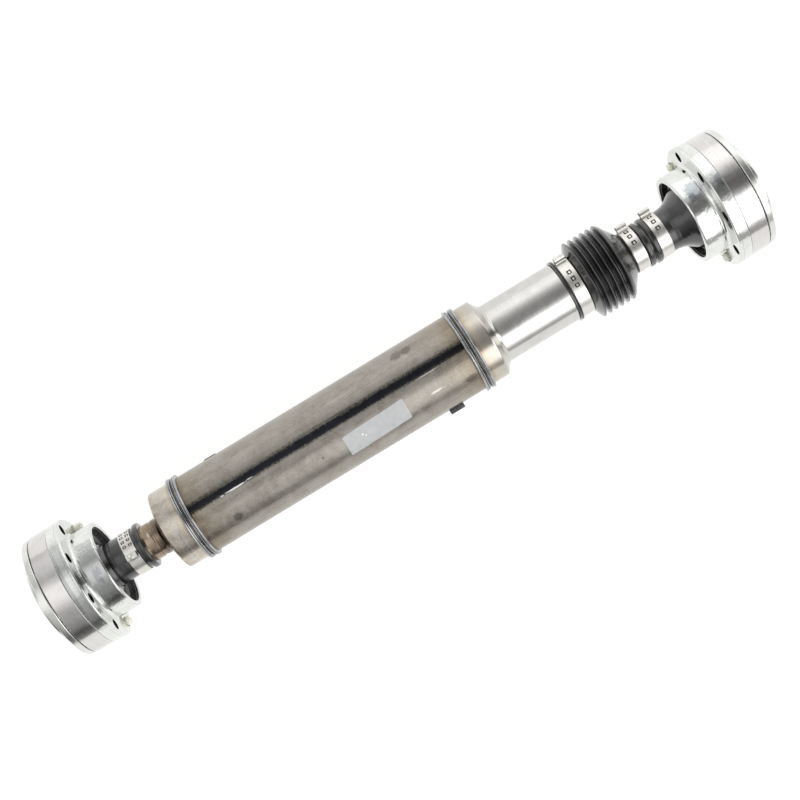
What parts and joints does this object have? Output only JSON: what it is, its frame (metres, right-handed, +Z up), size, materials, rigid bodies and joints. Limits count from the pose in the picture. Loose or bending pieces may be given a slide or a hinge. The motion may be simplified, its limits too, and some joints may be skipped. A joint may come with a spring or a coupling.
{
  "type": "telescoping propeller shaft",
  "caption": "Drive shaft: welded steel tube with a splined slip section under a bellows boot, and a flanged fixed ball joint with a rubber boot at each end.",
  "frame": {"origin": "centre of the overall box, on the shaft's axis at mid-length, with the joints straight and the slip section at its middle", "axes": "+X along the shaft from the plain end to the slip end, +Z up; the shaft lies on its two housings"},
  "size_m": [0.614, 0.101, 0.101],
  "materials": {
    "tube_steel": "raw drawn tube, mottled, satin",
    "machined_steel": "turned steel with heat tint near the welds",
    "polished_steel": "fine turned steel, bright",
    "race_steel": "ground bearing steel",
    "cage_steel": "hardened steel, dark",
    "ball_steel": "polished balls",
    "zinc_steel": "pressed steel with bright zinc plate",
    "cap_steel": "pressed steel with bright zinc plate",
    "spring_steel": "oiled spring steel",
    "clamp_stainless": "stainless band",
    "boot_rubber": "satin black rubber",
    "pin_plastic": "natural nylon",
    "weight_steel": "dark mild steel",
    "label_paper": "pale grey label, blank"
  },
  "bodies": {
    "shaft_tube": {"tube": "tube_steel", "plain_stub_shaft": "machined_steel", "slip_sleeve": "polished_steel", "sleeve_grease_plug": "zinc_steel", "balance_weight_plain": "weight_steel", "balance_weight_slip": "weight_steel", "label": "label_paper", "slip_boot_sleeve_clamp": "clamp_stainless", "plain_inner_race": "race_steel", "plain_snap_ring": "spring_steel", "plain_joint_boot": "boot_rubber", "plain_joint_boot_clamp": "clamp_stainless"},
    "slip_shaft_body": {"slip_shaft": "machined_steel", "slip_boot": "boot_rubber", "slip_boot_shaft_clamp": "clamp_stainless", "slip_inner_race": "race_steel", "slip_snap_ring": "spring_steel", "slip_joint_boot": "boot_rubber", "slip_joint_boot_clamp": "clamp_stainless"},
    "plain_cage_body": {"plain_cage": "cage_steel", "plain_ball_1": "ball_steel", "plain_ball_2": "ball_steel", "plain_ball_3": "ball_steel", "plain_ball_4": "ball_steel", "plain_ball_5": "ball_steel", "plain_ball_6": "ball_steel"},
    "plain_housing": {"plain_outer_race": "race_steel", "plain_boot_can": "zinc_steel", "plain_end_cap": "cap_steel", "plain_retaining_pin_1": "pin_plastic", "plain_retaining_pin_2": "pin_plastic"},
    "slip_cage_body": {"slip_cage": "cage_steel", "slip_ball_1": "ball_steel", "slip_ball_2": "ball_steel", "slip_ball_3": "ball_steel", "slip_ball_4": "ball_steel", "slip_ball_5": "ball_steel", "slip_ball_6": "ball_steel"},
    "slip_housing": {"slip_outer_race": "race_steel", "slip_boot_can": "zinc_steel", "slip_end_cap": "cap_steel", "slip_retaining_pin_1": "pin_plastic", "slip_retaining_pin_2": "pin_plastic"}
  },
  "joints": [
    {"name": "slip_plunge", "type": "slide", "parent": "shaft_tube", "child": "slip_shaft_body", "axis": [1, 0, 0], "range_m": [-0.018, 0.025], "deforming": ["slip_boot"]},
    {"name": "plain_swing_y", "type": "hinge", "parent": "shaft_tube", "child": "plain_cage_body", "pos_m": [-0.283, 0, 0], "axis": [0, 1, 0], "range_deg": [-12, 12], "deforming": ["plain_joint_boot"]},
    {"name": "plain_swing_z", "type": "hinge", "parent": "plain_cage_body", "child": "plain_housing", "pos_m": [-0.283, 0, 0], "axis": [0, 0, 1], "range_deg": [-12, 12], "deforming": ["plain_joint_boot"]},
    {"name": "slip_swing_y", "type": "hinge", "parent": "slip_shaft_body", "child": "slip_cage_body", "pos_m": [0.283, 0, 0], "axis": [0, 1, 0], "range_deg": [-12, 12], "deforming": ["slip_joint_boot"]},
    {"name": "slip_swing_z", "type": "hinge", "parent": "slip_cage_body", "child": "slip_housing", "pos_m": [0.283, 0, 0], "axis": [0, 0, 1], "range_deg": [-12, 12], "deforming": ["slip_joint_boot"]}
  ]
}
